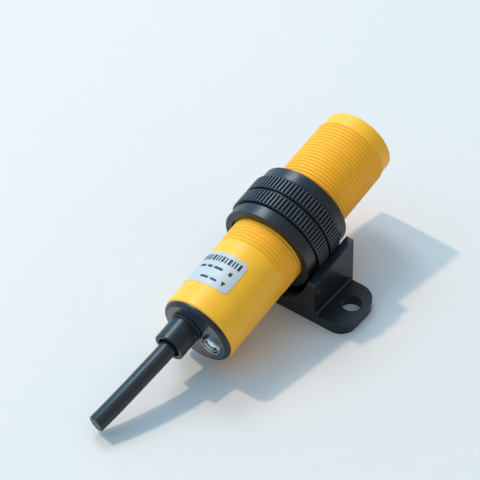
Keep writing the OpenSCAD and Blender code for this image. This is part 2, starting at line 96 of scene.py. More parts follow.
def colour(name, description, default):
    """A colour for a property group."""
    return FloatVectorProperty(name=name, description=description, default=default, size=3,
                               min=0, max=1, subtype="COLOR")


class BarrelSizes(bpy.types.PropertyGroup):
    """Sizes of the threaded barrel."""
    crest_r: length("Crest radius", "Radius over the thread's crests", 15.0 * MM)
    thread_depth: length("Thread depth", "From crest to root", 0.7 * MM)
    pitch: length("Pitch", "Advance of the thread in one turn", 1.5 * MM)
    body_r: length("Rear body radius", "Radius of the smooth rear body", 14.85 * MM)
    ring_r: length("Nose ring radius", "Radius of the smooth ring at the nose", 14.35 * MM)
    bore_r: length("Bore radius", "Radius of the bore", 11.6 * MM)
    pocket_r: length("Pocket radius", "Radius of the transducer's pocket", 12.45 * MM)
    end_chamfer: length("End chamfer", "Chamfer at the barrel's two ends", 0.5 * MM)
    steps: IntProperty(name="Steps a turn", description="Segments in one turn of the thread",
                       default=96, min=24)


class NutSizes(bpy.types.PropertyGroup):
    """Sizes of the two knurled nuts."""
    knurl_r: length("Rib radius", "Radius over the ribs", 19.7 * MM)
    knurl_w: length("Band width", "Width of the ribbed band", 6.2 * MM)
    lip_w: length("Lip width", "Smooth lip beside the ribs", 0.4 * MM)
    collar_r: length("Collar radius", "Radius of the smooth collar", 18.7 * MM)
    collar_w: length("Collar width", "Width of the smooth collar", 5.5 * MM)
    rib_count: IntProperty(name="Ribs", description="Number of ribs", default=80, min=12)
    rib_depth: length("Rib depth", "Depth of the grooves between ribs", 0.6 * MM)
    groove_slope: length("Groove slope", "Inset of a groove's floor from its rim", 0.12 * MM)
    rib_round: length("Rib rounding", "Rounding of the ribs' edges", 0.12 * MM)
    bore_r: length("Bore radius", "Radius of the nut's bore", 15.08 * MM)
    mouth_r: length("Mouth radius", "Radius of the step at the mouth", 15.9 * MM)
    mouth_depth: length("Mouth depth", "Depth of the step at the mouth", 1.0 * MM)
    seat_r: length("Seat radius", "Radius of the washer's seat", 17.85 * MM)
    seat_depth: length("Seat depth", "Depth of the washer's seat", 1.25 * MM)
    plate_gap: length("Inner face", "Station of the nut's inner face", 0.55 * MM)


class RearSizes(bpy.types.PropertyGroup):
    """Sizes of the cap, the sleeve, the cable and the indicator."""
    cable_turn: angle("Cable angle", "Angle of the cable above the level line", 31)
    cap_r: length("Cap radius", "Radius of the cap's rim", 14.4 * MM)
    cap_round: length("Rim rounding", "Radius of the rim's rounded edge", 1.5 * MM)
    plug_r: length("Plug radius", "Radius of the plug in the barrel", 11.55 * MM)
    plug_len: length("Plug length", "Length of the plug", 7.0 * MM)
    plug_wall: length("Plug wall", "Wall of the plug", 1.6 * MM)
    seal_t: length("Seal", "Width of the seal's groove", 1.0 * MM)
    cable_offset: length("Cable offset", "From the axis to the cable", 3.9 * MM)
    cable_r: length("Cable radius", "Radius of the cable's jacket", 3.3 * MM)
    cut_slant: angle("Cut", "Slant of the cable's cut end, which turns it upwards", 12)
    sleeve_r: length("Sleeve radius", "Radius of the sleeve", 6.0 * MM)
    root_r: length("Root radius", "Radius of the ring at the sleeve's root", 6.5 * MM)
    root_t: length("Root height", "Height of the ring at the sleeve's root", 1.2 * MM)
    mouth_r: length("Mouth radius", "Radius of the recess round the cable", 4.3 * MM)
    stem_r: length("Stem radius", "Radius of the sleeve's stem", 4.0 * MM)
    flange_r: length("Flange radius", "Radius of the stem's flange", 5.9 * MM)
    flange_t: length("Flange thickness", "Thickness of the stem's flange", 1.2 * MM)
    indicator_turn: angle("Indicator angle", "Angle of the indicator below the level line", 12)
    indicator_offset: length("Indicator offset", "From the axis to the indicator", 7.2 * MM)
    bezel_r: length("Ring radius", "Outer radius of the plated ring", 4.0 * MM)
    bezel_t: length("Ring height", "Height of the ring's outer wall", 1.3 * MM)
    step_r: length("Step radius", "Outer radius of the ring's inner wall", 3.0 * MM)
    step_t: length("Step height", "Height of the ring's inner wall", 0.8 * MM)
    ring_wall: length("Ring wall", "Width of the ring's walls", 0.34 * MM)
    lens_r: length("Lens radius", "Radius of the lens", 2.2 * MM)


class LabelSizes(bpy.types.PropertyGroup):
    """Sizes of the foil label."""
    width: length("Width", "Width along the barrel", 14.8 * MM)
    inset: length("Inset", "From the barrel's rear rim to the label", 10.0 * MM)
    first: angle("First edge", "Angle of the first edge, counted from below", 206)
    wrap: angle("Wrap", "Angle that the label wraps round the barrel", 120)
    thickness: length("Thickness", "Thickness of the foil", 0.14 * MM)
    corner_r: length("Corner radius", "Radius of the label's corners", 2.0 * MM)
    print_t: length("Print thickness", "Height of the printed marks", 0.02 * MM)


class BracketSizes(bpy.types.PropertyGroup):
    """Sizes of the bracket's edges."""
    edge_round: length("Edge rounding", "Rounding of the moulded edges", 0.5 * MM)
    corner_round: length("Corner rounding", "Rounding of the wall's upper rear corner", 1.8 * MM)


class FinishColours(bpy.types.PropertyGroup):
    """Colours of the visible finishes."""
    yellow: colour("Barrel", "Yellow of the barrel", (0.97, 0.485, 0.022))
    black: colour("Mouldings", "Black of the nuts, the cap and the bracket", (0.005, 0.008, 0.011))
    # The cap's face is a lighter grey than the black rim: painted reflection of the lit floor, on top of a fine
    # grain
    cap_face: colour("Cap's face", "Grey of the cap's textured face", (0.022, 0.036, 0.050))
    # The ribs' crests are painted a lighter grey than the black: painted sheen for the light the crests catch
    rib: colour("Ribs", "Black of the ribs' worn crests", (0.034, 0.041, 0.054))
    cut: colour("Cable's cut end", "Grey of the cable's cut end", (0.075, 0.10, 0.11))
    rubber: colour("Sleeve", "Black of the sleeve", (0.005, 0.008, 0.011))
    jacket: colour("Cable", "Black of the cable's jacket", (0.007, 0.010, 0.014))
    foil: colour("Label", "Silver of the label", (0.50, 0.515, 0.52))
    ink: colour("Print", "Ink of the printed marks", (0.012, 0.014, 0.018))
    lens: colour("Lens", "Tint of the lens", (0.72, 0.92, 0.82))
    nickel: colour("Plating", "Colour of the plated ring", (0.62, 0.63, 0.62))
    floor: colour("Floor", "Colour of the floor", (0.692, 0.655, 0.628))


class StageSettings(bpy.types.PropertyGroup):
    """Camera and lights."""
    camera_place: FloatVectorProperty(
        name="Camera", description="Place of the camera", subtype="TRANSLATION", unit="LENGTH",
        default=(-0.3956, -0.2748, 0.4847), size=3, precision=4)
    camera_aim: FloatVectorProperty(
        name="View", description="Direction in which the camera looks", subtype="DIRECTION",
        default=(0.5760, 0.4309, -0.6947), size=3)
    camera_roll: angle("Roll", "Turn of the camera about its view", 0.22)
    lens_mm: FloatProperty(name="Focal length", description="Focal length in millimetres",
                           default=135.0, min=10.0)
    key_power: FloatProperty(name="Key light", description="Power of the key light in watts",
                             default=29.5, min=0.0)
    fill: FloatProperty(name="Fill light", description="Strength of the surrounding light",
                        default=1.0, min=0.0)


# ---- Shaping helpers ----

def everything(bm):
    """All vertices, edges and faces of a mesh, for an operator that works on the whole."""
    return bm.verts[:] + bm.edges[:] + bm.faces[:]


def lathe(section, steps=96, closed=True):
    """Revolves a half section of (radius, station) points round Z.

    An open section starts and ends on the axis.
    """
    bm = bmesh.new()
    verts = [bm.verts.new((r, 0, z)) for r, z in section]
    ends = verts[1:] + (verts[:1] if closed else [])
    edges = [bm.edges.new(pair) for pair in zip(verts, ends)]
    bmesh.ops.spin(bm, geom=verts + edges, cent=(0, 0, 0), axis=(0, 0, 1), dvec=(0, 0, 0),
                   angle=FULL_TURN, steps=steps, use_merge=True)
    bmesh.ops.remove_doubles(bm, verts=bm.verts, dist=WELD)
    bmesh.ops.recalc_face_normals(bm, faces=bm.faces)
    return bm


def round_off(bm, edges, width, segments, material=-1):
    """Rounds the given edges. A material of -1 gives the new faces that of their neighbours."""
    bmesh.ops.bevel(bm, geom=edges, offset=width, offset_type="OFFSET", segments=segments,
                    profile=0.5, affect="EDGES", clamp_overlap=True, material=material)


def round_edges(bm, width, segments=3, min_turn=40, wanted=lambda edge: True):
    """Rounds the wanted edges whose faces turn by more than an angle in degrees."""
    edges = [e for e in bm.edges if len(e.link_faces) == 2
             and e.calc_face_angle(0) > math.radians(min_turn) and wanted(e)]
    round_off(bm, edges, width, segments)


def extrude_loop(bm, edges):
    """Extrudes a loop of edges, and returns the new loop's vertices and edges."""
    made = bmesh.ops.extrude_edge_only(bm, edges=edges)["geom"]
    verts = [g for g in made if isinstance(g, bmesh.types.BMVert)]
    return verts, [g for g in made if isinstance(g, bmesh.types.BMEdge)
                   and all(v in verts for v in g.verts)]


def extend_loop(bm, edges, section):
    """Carries a round loop of edges through (station, radius) points, and returns the last loop."""
    for station, radius in section:
        verts, edges = extrude_loop(bm, edges)
        for v in verts:
            flat = Vector((v.co.x, v.co.y, 0)).normalized() * radius
            v.co = (flat.x, flat.y, station)
    return edges


def finish_piece(name, bm, body, finish, nodes=(), place=None, weighted=False):
    """Makes an object of a shaped mesh, with its place, shading, finish, body and CAD nodes."""
    if place is not None:
        bm.transform(place)
    bmesh.ops.recalc_face_normals(bm, faces=bm.faces)
    mesh = bpy.data.meshes.new(name)
    bm.to_mesh(mesh)
    bm.free()
    mesh.shade_smooth()
    mesh.set_sharp_from_angle(angle=SMOOTH_ANGLE)
    piece = bpy.data.objects.new(name, mesh)
    bpy.context.scene.collection.objects.link(piece)
    mesh.materials.append(bpy.data.materials[finish])
    if weighted:
        modifier = piece.modifiers.new("Even shading", "WEIGHTED_NORMAL")
        modifier.keep_sharp = True
        modifier.weight = 100
    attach(piece, body)
    if nodes:
        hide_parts(*nodes)
    return piece


def on_cap(turn, offset):
    """Place on the cap, at a turn about the barrel's axis and a signed distance from it."""
    return ALONG_BARREL @ Matrix.Rotation(turn, 4, "Z") @ Matrix.Translation((0, offset, 0))


# ---- Finishes ----

class Finish:
    """A procedural surface, built from noise on the piece's own coordinates."""

    # The noise's values seldom go past these two, so what lies between them is spread
    NOISE_LOW, NOISE_HIGH = 0.3, 0.7
    # How much each finer layer of the noise adds to the one before
    NOISE_ROUGHNESS = 0.55
    # Sockets of a node that mixes two colours: its inputs and its output
    MIX_FIRST, MIX_SECOND, MIXED = 6, 7, 2

    def __init__(self, name, base, roughness, metallic=0.0, **sockets):
        # A packed material of this name makes room, or the new one would get another name
        if name in bpy.data.materials:
            bpy.data.materials.remove(bpy.data.materials[name])
        self.material = bpy.data.materials.new(name)
        self.material.use_nodes = True
        self.tree = self.material.node_tree
        self.shader = self.tree.nodes["Principled BSDF"]
        self.base = tuple(base)
        self.shader.inputs["Base Color"].default_value = (*self.base, 1)
        self.shader.inputs["Roughness"].default_value = roughness
        self.shader.inputs["Metallic"].default_value = metallic
        for socket, value in sockets.items():
            self.shader.inputs[socket.replace("_", " ")].default_value = value
        self.material.diffuse_color = (*self.base, 1)
        self.coords = self.tree.nodes.new("ShaderNodeTexCoord").outputs["Object"]
        self.normal = None

    def node(self, kind, **settings):
        made = self.tree.nodes.new(kind)
        for key, value in settings.items():
            setattr(made, key, value)
        return made

    def link(self, source, target):
        self.tree.links.new(source, target)

    def along_barrel(self, stretch):
        """The piece's coordinates, turned so that X runs along the barrel, and stretched that way."""
        mapping = self.node("ShaderNodeMapping")
        mapping.inputs["Rotation"].default_value = (0, -BARREL_TILT, 0)
        mapping.inputs["Scale"].default_value = (1 / stretch, 1, 1)
        self.link(self.coords, mapping.inputs["Vector"])
        return mapping.outputs["Vector"]

    def noise(self, size, detail=3.0, vector=None):
        """Noise whose features are about a size in metres."""
        made = self.node("ShaderNodeTexNoise")
        made.inputs["Scale"].default_value = 1 / size
        made.inputs["Detail"].default_value = detail
        made.inputs["Roughness"].default_value = self.NOISE_ROUGHNESS
        self.link(vector or self.coords, made.inputs["Vector"])
        return made.outputs["Fac"]

    def spread(self, value, low, high):
        """Maps the noise's usual range to low and high."""
        made = self.node("ShaderNodeMapRange")
        for socket, number in (("From Min", self.NOISE_LOW), ("From Max", self.NOISE_HIGH),
                               ("To Min", low), ("To Max", high)):
            made.inputs[socket].default_value = number
        self.link(value, made.inputs["Value"])
        return made.outputs["Result"]

    def mottle(self, size, amount):
        """Varies the colour softly between two shades of the base."""
        mix = self.node("ShaderNodeMix", data_type="RGBA")
        light = tuple(min(1.0, c * (1 + amount)) for c in self.base)
        dark = tuple(c * (1 - amount) for c in self.base)
        mix.inputs[self.MIX_FIRST].default_value = (*dark, 1)
        mix.inputs[self.MIX_SECOND].default_value = (*light, 1)
        self.link(self.spread(self.noise(size), 0, 1), mix.inputs["Factor"])
        self.link(mix.outputs[self.MIXED], self.shader.inputs["Base Color"])
        return self

    def uneven_gloss(self, size, low, high):
        """Varies the roughness between two values."""
        self.link(self.spread(self.noise(size), low, high), self.shader.inputs["Roughness"])
        return self

    def relief(self, height, value):
        """Adds a bump of a height in metres on top of what is there."""
        bump = self.node("ShaderNodeBump")
        bump.inputs["Strength"].default_value = 1.0
        bump.inputs["Distance"].default_value = height
        self.link(value, bump.inputs["Height"])
        if self.normal is not None:
            self.link(self.normal, bump.inputs["Normal"])
        self.normal = bump.outputs["Normal"]
        self.link(self.normal, self.shader.inputs["Normal"])
        return self

    def grain(self, size, height, detail=2.0):
        """Adds an even moulded or cast grain."""
        return self.relief(height, self.noise(size, detail))

    def lines(self, size, height, stretch=60.0):
        """Adds fine lines along the barrel, as extruding or brushing leaves them."""
        return self.relief(height, self.noise(size, detail=2.0, vector=self.along_barrel(stretch)))


def plastic(name, base, roughness, grain=0.25, height=0.004, mottle=0.04, **sockets):
    """Moulded plastic: fine grain, slightly uneven gloss and colour.

    Here and below, the size of the grain and its height are in millimetres.
    """
    made = Finish(name, base, roughness, **sockets)
    made.mottle(size=6 * MM, amount=mottle)
    made.uneven_gloss(size=3 * MM, low=roughness - 0.04, high=roughness + 0.05)
    return made.grain(size=grain * MM, height=height * MM)


def metal(name, base, roughness, grain=0.2, height=0.003, mottle=0.05):
    """Bare, plated or blackened metal with fine directional lines."""
    made = Finish(name, base, roughness, metallic=1.0)
    made.mottle(size=4 * MM, amount=mottle)
    made.uneven_gloss(size=2 * MM, low=max(0.03, roughness - 0.05), high=roughness + 0.07)
    return made.lines(size=grain * MM, height=height * MM, stretch=12.0)


def coarse(name, base, roughness, grain, height, mottle=0.12):
    """Foam, ceramic or pressed powder: a matt body with visible pores."""
    made = Finish(name, base, roughness)
    made.mottle(size=0.6 * MM, amount=mottle)
    return made.grain(size=grain * MM, height=height * MM, detail=5.0)


def cable_jacket(name, base):
    """Extruded jacket: satin, with faint lines along its run."""
    made = Finish(name, base, 0.34, Specular_IOR_Level=0.6)
    made.mottle(size=5 * MM, amount=0.08).uneven_gloss(size=2.5 * MM, low=0.30, high=0.38)
    made.lines(size=0.25 * MM, height=0.006 * MM)
    return made.grain(size=0.12 * MM, height=0.002 * MM)


def foil(name, base):
    """Silver label foil: satin, with fine lines along the barrel."""
    made = Finish(name, base, 0.5, metallic=0.1)
    made.mottle(size=9 * MM, amount=0.04).uneven_gloss(size=2 * MM, low=0.46, high=0.56)
    return made.lines(size=0.12 * MM, height=0.0012 * MM)


def make_finishes(colours):
    """Makes one material for each slot of the record, and those that only the scene's pieces have."""
    black, yellow = tuple(colours.black), tuple(colours.yellow)
    plastic("yellow_plastic", yellow, 0.40, grain=0.22, height=0.002, mottle=0.03,
            Specular_IOR_Level=0.4)
    plastic("black_plastic", black, 0.31, grain=0.2, height=0.001, mottle=0.15)
    plastic("bracket_plastic", black, 0.30, grain=0.25, height=0.0003, mottle=0.05,
            Specular_IOR_Level=0.42)
    plastic("cap_texture", tuple(colours.cap_face), 0.26, grain=0.3, height=0.0006, mottle=0.12,
            IOR=2.0)
    # Lighter grey for the ribs' crests and rims: painted sheen
    plastic("rib_crest", tuple(colours.rib), 0.42, grain=0.3, height=0.003, mottle=0.2)
    plastic("cable_cut", tuple(colours.cut), 0.55, grain=0.4, height=0.02, mottle=0.2)
    # Matt black: a matt finish in the nuts' grooves, and painted shade on the floor of the plated ring's valley
    plastic("matt_groove", black, 0.75, grain=0.25, height=0.002, mottle=0.15,
            Specular_IOR_Level=0.15)
    plastic("black_rubber", tuple(colours.rubber), 0.3, grain=0.18, height=0.0015, mottle=0.15,
            Specular_IOR_Level=0.5)
    cable_jacket("cable_jacket", tuple(colours.jacket))
    plastic("core_insulation", (0.30, 0.12, 0.05), 0.35)
    metal("nickel_plate", tuple(colours.nickel), 0.22, height=0.0006)
    lens = plastic("clear_lens", tuple(colours.lens), 0.08, grain=0.5, height=0.0008, mottle=0.02,
                   Transmission_Weight=0.35, IOR=1.49)
    # The lens glows faintly: partly the indicator's own light, partly a painted highlight standing in for the
    # bright reflection on it
    lens.shader.inputs["Emission Color"].default_value = (0.70, 1.0, 0.86, 1)
    lens.shader.inputs["Emission Strength"].default_value = 0.3
    plastic("emitter_resin", (0.30, 0.75, 0.45), 0.12, Transmission_Weight=0.4)
    metal("tinned_wire", (0.62, 0.63, 0.64), 0.25)
    foil("label_foil", tuple(colours.foil))
    plastic("label_ink", tuple(colours.ink), 0.5, grain=0.1, height=0.002, mottle=0.2)
    coarse("matching_resin", (0.78, 0.76, 0.70), 0.55, grain=0.25, height=0.012, mottle=0.05)
    coarse("piezo_ceramic", (0.60, 0.52, 0.36), 0.45, grain=0.12, height=0.006)
    plastic("cup_plastic", (0.42, 0.47, 0.52), 0.45)
    coarse("soft_ring", (0.10, 0.11, 0.12), 0.7, grain=0.3, height=0.012)
    coarse("foam", (0.48, 0.40, 0.26), 0.9, grain=0.5, height=0.12, mottle=0.3)
    board = plastic("board_laminate", (0.02, 0.20, 0.08), 0.3, grain=0.5, height=0.01, mottle=0.2)
    board.grain(size=0.15 * MM, height=0.004 * MM)
    plastic("lead_insulation", (0.50, 0.03, 0.02), 0.35)
    coarse("ferrite", (0.035, 0.035, 0.04), 0.5, grain=0.15, height=0.01)
    plastic("can_sleeve", (0.03, 0.12, 0.38), 0.25)
    coarse("chip_resin", (0.012, 0.012, 0.014), 0.5, grain=0.12, height=0.008)
    plastic("bead_resin", (0.42, 0.18, 0.05), 0.25)
    metal("washer_steel", (0.56, 0.57, 0.58), 0.28)
    blackened = metal("black_steel", (0.03, 0.033, 0.037), 0.4, mottle=0.25)
    blackened.grain(size=0.4 * MM, height=0.004 * MM)
    plastic("stage_floor", tuple(colours.floor), 0.6, grain=1.5, height=0.01, mottle=0.006)


# ---- Operators ----

class SENSOR_OT_finishes(bpy.types.Operator):
    """Make every finish, and give the carried-over solids theirs"""
    bl_idname = "sensor.finishes"
    bl_label = "Finishes"

    def execute(self, context):
        make_finishes(context.scene.sensor_colours)
        for part in frame["record"]["subparts"]:
            data = frame["nodes"][part["node"]].data
            data.materials.clear()
            data.materials.append(bpy.data.materials[part["material_slot"]])
        return {"FINISHED"}


class SENSOR_OT_barrel(bpy.types.Operator):
    """Make the barrel: rear body, helical thread, nose ring and bore"""
    bl_idname = "sensor.barrel"
    bl_label = "Threaded barrel"

    # One pitch of the thread from crest to crest: (share of the pitch, share of the depth)
    PROFILE = ((0.0, 0.0), (0.10, 0.03), (0.17, 0.16), (0.36, 0.86), (0.43, 0.98), (0.5, 1.0),
               (0.57, 0.98), (0.64, 0.86), (0.83, 0.16), (0.90, 0.03), (1.0, 0.0))
    # In pitches: how early the first turn starts, what is left past each end until it is cut square,
    # the run-outs' lengths at the rear and at the nose, and how near the turns' seams are one
    LEAD, OVERHANG = 1.5, 1.21
    REAR_RUN_OUT, NOSE_RUN_OUT = 0.9, 0.7
    SEAM = 0.005
    # Crumbs that the square cut leaves are shorter than this, and lie this near to its station
    CRUMB, AT_CUT = 0.01 * MM, 0.02 * MM

    def thread(self, s):
        """A helical skin that covers the thread's length, as many whole turns as it takes."""
        bm = bmesh.new()
        verts = [bm.verts.new((s.crest_r - depth * s.thread_depth, 0, share * s.pitch))
                 for share, depth in self.PROFILE]
        edges = [bm.edges.new(pair) for pair in zip(verts, verts[1:])]
        bmesh.ops.spin(bm, geom=verts + edges, cent=(0, 0, 0), axis=(0, 0, 1),
                       dvec=(0, 0, s.pitch / s.steps), angle=FULL_TURN, steps=s.steps, use_merge=False)
        turns, needed = 1, (RING_Z - STEP_Z) / s.pitch + self.LEAD + self.OVERHANG
        while turns < needed:
            copied = bmesh.ops.duplicate(bm, geom=everything(bm))
            moved = [g for g in copied["geom"] if isinstance(g, bmesh.types.BMVert)]
            bmesh.ops.translate(bm, verts=moved, vec=(0, 0, turns * s.pitch))
            turns *= 2
        bmesh.ops.translate(bm, verts=bm.verts, vec=(0, 0, STEP_Z - self.LEAD * s.pitch))
        for station, side in ((STEP_Z, -1), (RING_Z, 1)):
            spare = [v for v in bm.verts if (v.co.z - station) * side > self.OVERHANG * s.pitch]
            bmesh.ops.delete(bm, geom=spare, context="VERTS")
        bmesh.ops.remove_doubles(bm, verts=bm.verts, dist=self.SEAM * s.pitch)
        return bm

    def fade_ends(self, bm, s):
        """Lets the thread run out into the rear body and into the nose ring."""
        for v in bm.verts:
            flat = Vector((v.co.x, v.co.y, 0))
            radius = flat.length
            for distance, end_r, pitches in ((v.co.z - STEP_Z, s.body_r, self.REAR_RUN_OUT),
                                             (RING_Z - v.co.z, s.ring_r, self.NOSE_RUN_OUT)):
                share = min(1.0, max(0.0, distance / (pitches * s.pitch)))
                radius = end_r + (radius - end_r) * share * share * (3 - 2 * share)
            flat = flat.normalized() * radius
            v.co = (flat.x, flat.y, v.co.z)

    def open_end(self, bm, station):
        """The open edges that the square cut left at a station."""
        return [e for e in bm.edges if e.is_boundary
                and all(abs(v.co.z - station) < self.AT_CUT for v in e.verts)]

    def execute(self, context):
        s = context.scene.sensor_barrel
        bm = self.thread(s)
        self.fade_ends(bm, s)
        for station, side in ((STEP_Z, -1), (RING_Z, 1)):
            bmesh.ops.bisect_plane(bm, geom=everything(bm), dist=WELD, plane_co=(0, 0, station),
                                   plane_no=(0, 0, side), clear_outer=True)
        bmesh.ops.remove_doubles(bm, verts=bm.verts, dist=self.CRUMB)
        rear = extend_loop(bm, self.open_end(bm, STEP_Z), (
            (REAR_Z + s.end_chamfer, s.body_r), (REAR_Z, s.body_r - s.end_chamfer), (REAR_Z, s.bore_r)))
        nose = extend_loop(bm, self.open_end(bm, RING_Z), (
            (NOSE_Z - s.end_chamfer, s.ring_r), (NOSE_Z, s.ring_r - s.end_chamfer),
            (NOSE_Z, s.pocket_r), (POCKET_Z, s.pocket_r), (POCKET_Z, s.bore_r),
            (REAR_Z + s.end_chamfer, s.bore_r)))
        bmesh.ops.bridge_loops(bm, edges=rear + nose)
        finish_piece("threaded_barrel", bm, "sensor", "yellow_plastic", ["barrel_housing"], ALONG_BARREL)
        return {"FINISHED"}


class SENSOR_OT_nuts(bpy.types.Operator):
    """Make the two nuts: knurled band, collar, mouth and washer seat"""
    bl_idname = "sensor.nuts"
    bl_label = "Knurled nuts"

    # Columns of faces to each rib and groove, of which the first half becomes the groove
    COLUMNS = 4
    CHAMFER = 0.3 * MM
    # Second and third finish of a nut: matt black in the grooves, and on the crests and their rounded rims a
    # lighter grey that is painted sheen
    GROOVE, CREST = 1, 2

    def nut(self, s):
        """One nut with its inner face at Z 0."""
        c, width = self.CHAMFER, s.knurl_w + s.collar_w
        bm = lathe([
            (s.seat_r, 0), (s.knurl_r - c, 0), (s.knurl_r, c), (s.knurl_r, s.lip_w),
            (s.knurl_r, s.knurl_w - s.lip_w), (s.knurl_r, s.knurl_w - c), (s.knurl_r - c, s.knurl_w),
            (s.collar_r - c, s.knurl_w), (s.collar_r - c, s.knurl_w + c),
            (s.collar_r, s.knurl_w + 2 * c),
            (s.collar_r, width - c), (s.collar_r - c, width), (s.mouth_r, width),
            (s.mouth_r, width - s.mouth_depth), (s.bore_r, width - s.mouth_depth),
            (s.bore_r, s.seat_depth), (s.seat_r, s.seat_depth)], steps=self.COLUMNS * s.rib_count)
        self.cut_grooves(bm, s)
        return bm

    def band_faces(self, bm, s, lowest):
        """The faces between the band's two lips that lie further out than a radius."""
        middle = s.knurl_w / 2
        for face in bm.faces:
            centre = face.calc_center_median()
            if abs(centre.z - middle) < middle - s.lip_w and centre.xy.length > lowest:
                yield face

    def is_groove(self, face, s):
        """Tells whether a face of the plain band lies in a column that becomes a groove."""
        centre = face.calc_center_median()
        share = (math.atan2(centre.y, centre.x) % FULL_TURN) / FULL_TURN
        return int(share * self.COLUMNS * s.rib_count) % self.COLUMNS < self.COLUMNS / 2

    def cut_grooves(self, bm, s):
        """Sinks the grooves in the band, and rounds the ribs' edges."""
        half_way_r = s.knurl_r - s.rib_depth / 2
        floors = [f for f in self.band_faces(bm, s, s.collar_r) if self.is_groove(f, s)]
        walls = bmesh.ops.inset_region(bm, faces=floors, thickness=s.groove_slope, depth=-s.rib_depth,
                                       use_boundary=True, use_even_offset=True)["faces"]
        sunk = set(walls)
        rims = [e for f in walls for e in f.edges
                if sum(g in sunk for g in e.link_faces) == 1
                and max(v.co.xy.length for v in e.verts) > half_way_r]
        for face in (*walls, *floors):
            face.material_index = self.GROOVE
        # The crests and their rounded rims get the lighter grey: painted sheen
        for face in self.band_faces(bm, s, half_way_r):
            if face not in sunk:
                face.material_index = self.CREST
        round_off(bm, list(dict.fromkeys(rims)), s.rib_round, segments=2, material=self.CREST)

    def execute(self, context):
        s = context.scene.sensor_nuts
        lift = Matrix.Translation((0, 0, s.plate_gap))
        for end, place in (("front", lift), ("rear", Matrix.Scale(-1, 4, (0, 0, 1)) @ lift)):
            nut = finish_piece(end + "_nut_ribbed", self.nut(s), end + "_nut", "black_plastic",
                               [end + "_nut"], ALONG_BARREL @ place)
            for finish in ("matt_groove", "rib_crest"):
                nut.data.materials.append(bpy.data.materials[finish])
        return {"FINISHED"}


class SENSOR_OT_bracket(bpy.types.Operator):
    """Make the moulded bracket, with rounded edges, from a merged copy of its solid"""
    bl_idname = "sensor.bracket"
    bl_label = "Moulded bracket"

    # The wall's upper rear corner lies behind this X and above this Z, and its edge runs along Y for
    # at least this share of its length
    REAR_X = -13.2 * MM
    CORNER_Z = 15.0 * MM
    CROSSWISE = 0.9
    # Edges nearer to the clamp plate's middle than this stay sharp
    PLATE_ZONE = 1.2 * MM
    # Faces that turn by less than this are one
    FLAT_ANGLE = math.radians(0.5)

    def execute(self, context):
        s = context.scene.sensor_bracket
        bm = bmesh.new()
        bm.from_mesh(frame["nodes"]["bracket_body"].data)
        bmesh.ops.remove_doubles(bm, verts=bm.verts, dist=WELD)
        bmesh.ops.dissolve_limit(bm, angle_limit=self.FLAT_ANGLE, use_dissolve_boundaries=False,
                                 verts=bm.verts, edges=bm.edges)
        to_barrel = ALONG_BARREL.inverted()

        def clear_of_plate(edge):
            return all(abs((to_barrel @ v.co).z) > self.PLATE_ZONE for v in edge.verts)

        def at_rear_corner(edge):
            a, b = (v.co for v in edge.verts)
            return (abs(a.y - b.y) > self.CROSSWISE * (a - b).length
                    and max(a.x, b.x) < self.REAR_X and min(a.z, b.z) > self.CORNER_Z)

        round_edges(bm, s.corner_round, segments=5, min_turn=50, wanted=at_rear_corner)
        round_edges(bm, s.edge_round, segments=3, min_turn=35, wanted=clear_of_plate)
        finish_piece("moulded_bracket", bm, "bracket", "bracket_plastic", ["bracket_body"],
                     weighted=True)
        return {"FINISHED"}


class SENSOR_OT_cap(bpy.types.Operator):
    """Make the rear cap with its rounded rim"""
    bl_idname = "sensor.cap"
    bl_label = "Rear cap"

    # Rounding of the flange's inner edge, where it meets the barrel
    FLANGE_ROUND = 0.2 * MM

    def execute(self, context):
        s = context.scene.sensor_rear
        plug_end = REAR_Z + s.plug_len
        seal_z = (CAP_FLOOR_Z + plug_end) / 2
        groove_r = context.scene.sensor_barrel.bore_r - s.seal_t
        bm = lathe([
            (0, CAP_FACE_Z), (s.cap_r, CAP_FACE_Z), (s.cap_r, REAR_Z), (s.plug_r, REAR_Z),
            (s.plug_r, seal_z - s.seal_t / 2), (groove_r, seal_z - s.seal_t / 2),
            (groove_r, seal_z + s.seal_t / 2), (s.plug_r, seal_z + s.seal_t / 2),
            (s.plug_r, plug_end), (s.plug_r - s.plug_wall, plug_end),
            (s.plug_r - s.plug_wall, CAP_FLOOR_Z), (0, CAP_FLOOR_Z)], closed=False)
        round_edges(bm, s.cap_round, segments=6,
                    wanted=lambda e: all(v.co.z < CAP_FACE_Z + WELD and v.co.xy.length > s.plug_r
                                         for v in e.verts))
        round_edges(bm, self.FLANGE_ROUND, segments=2, min_turn=60,
                    wanted=lambda e: all(v.co.xy.length > s.cap_r - WELD for v in e.verts))
        # The flat face gets the lighter grey finish: painted reflection
        for face in bm.faces:
            if face.calc_center_median().z < CAP_FACE_Z + WELD:
                face.material_index = 1
        cap = finish_piece("cap_shell", bm, "sensor", "black_plastic", ["rear_cap"], ALONG_BARREL,
                           weighted=True)
        cap.data.materials.append(bpy.data.materials["cap_texture"])
        return {"FINISHED"}


